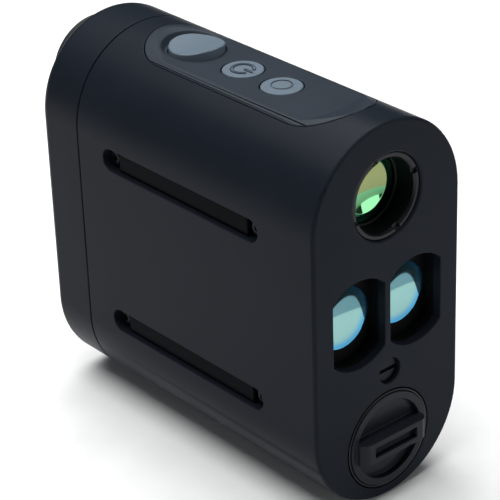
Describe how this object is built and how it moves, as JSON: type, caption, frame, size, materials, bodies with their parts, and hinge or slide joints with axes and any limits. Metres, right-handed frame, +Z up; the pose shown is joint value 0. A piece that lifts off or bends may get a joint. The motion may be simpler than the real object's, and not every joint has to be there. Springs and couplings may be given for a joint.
{
  "type": "laser rangefinder",
  "caption": "Compact handheld laser rangefinder with a stadium-section body, monocular sight, twin laser windows, top buttons and a screw-in battery cap.",
  "frame": {"origin": "middle of the length and width, at the lowest point of the round underside", "axes": "+Z up through the button deck, -Y out of the front windows along the line of sight, +X to the user's right when looking through the eyepiece from behind"},
  "size_m": [0.04, 0.0965, 0.0855],
  "materials": {
    "rubber_armour": "satin soft-touch moulding",
    "deck_plastic": "satin moulding",
    "button_plastic": "satin moulding",
    "black_plastic": "fine textured moulding",
    "gloss_black_plastic": "polished moulding",
    "black_anodised": "matte black anodised",
    "collar_metal": "satin black anodised",
    "steel": "plain",
    "black_steel": "black oxide",
    "rubber": "matte",
    "coated_glass_green": "green multicoated",
    "coated_glass_cyan": "cyan multicoated",
    "optical_glass": "clear polished",
    "circuit_board": "green solder mask",
    "polyimide": "amber film",
    "chip_plastic": "matte epoxy",
    "tin_plate": "tinned sheet",
    "gold_plate": "gold plated",
    "cell_wrap": "printed sleeve",
    "capacitor_sleeve": "shrink sleeve",
    "spring_bronze": "bright"
  },
  "bodies": {
    "body": {"main_housing": "rubber_armour", "rear_cover": "rubber_armour", "cover_gasket": "rubber", "cover_screws": "black_steel", "top_panel": "deck_plastic", "button_board": "circuit_board", "button_board_screws": "steel", "tact_switches": "tin_plate", "button_flex": "polyimide", "left_upper_strip": "gloss_black_plastic", "left_lower_strip": "gloss_black_plastic", "right_upper_strip": "gloss_black_plastic", "right_lower_strip": "gloss_black_plastic", "strip_screws": "black_steel", "chassis": "black_plastic", "chassis_screws": "steel", "objective_barrel": "black_anodised", "objective_retaining_ring": "collar_metal", "objective_spacer": "black_anodised", "objective_o_ring": "rubber", "objective_front_lens": "coated_glass_green", "objective_rear_lens": "optical_glass", "prism_housing": "black_plastic", "entry_prism": "optical_glass", "roof_prism": "optical_glass", "display_frame": "black_plastic", "display_glass": "optical_glass", "display_flex": "polyimide", "eyepiece_barrel": "black_anodised", "eyepiece_o_ring": "rubber", "emitter_barrel": "black_plastic", "emitter_lens": "coated_glass_cyan", "laser_diode": "gold_plate", "emitter_board": "circuit_board", "pulse_capacitor": "capacitor_sleeve", "receiver_barrel": "black_plastic", "receiver_lens": "coated_glass_cyan", "receiver_filter": "coated_glass_cyan", "photodiode": "gold_plate", "receiver_board": "circuit_board", "receiver_shield": "tin_plate", "main_board": "circuit_board", "main_board_screws": "steel", "board_components": "chip_plastic", "battery_collar": "collar_metal", "battery_tube": "black_plastic", "battery": "cell_wrap", "purge_screw": "black_steel", "tripod_insert": "steel"},
    "range_button_cap": {"range_button": "button_plastic"},
    "power_button_cap": {"power_button": "button_plastic"},
    "mode_button_cap": {"mode_button": "button_plastic"},
    "diopter": {"diopter_ring": "black_plastic", "eyecup": "rubber"},
    "eye_lens_group": {"eye_lens_cell": "black_anodised", "field_lens": "optical_glass", "eye_lens": "optical_glass"},
    "battery_door": {"battery_cap": "gloss_black_plastic", "cap_o_ring": "rubber", "cap_spring": "spring_bronze"}
  },
  "joints": [
    {"name": "range_button_press", "type": "slide", "parent": "body", "child": "range_button_cap", "axis": [0, 0, -1], "range_m": [0, 0.0005], "stiffness_N_per_m": 2500, "springref_m": -0.0004},
    {"name": "power_button_press", "type": "slide", "parent": "body", "child": "power_button_cap", "axis": [0, 0, -1], "range_m": [0, 0.0005], "stiffness_N_per_m": 2000, "springref_m": -0.0004},
    {"name": "mode_button_press", "type": "slide", "parent": "body", "child": "mode_button_cap", "axis": [0, 0, -1], "range_m": [0, 0.0005], "stiffness_N_per_m": 2000, "springref_m": -0.0004},
    {"name": "diopter_turn", "type": "hinge", "parent": "body", "child": "diopter", "pos_m": [0, 0.04425, 0.06935], "axis": [0, 1, 0], "range_deg": [-150, 150]},
    {"name": "eye_lens_focus", "type": "slide", "parent": "body", "child": "eye_lens_group", "axis": [0, 1, 0], "range_m": [-0.0008, 0.0008]},
    {"name": "battery_cap_turn", "type": "hinge", "parent": "body", "child": "battery_door", "pos_m": [0, -0.04575, 0.01365], "axis": [0, -1, 0], "range_deg": [0, 90]}
  ],
  "couplings": [
    {"joint": "diopter_turn", "follows": "eye_lens_focus", "rad_per_m": 3270}
  ]
}
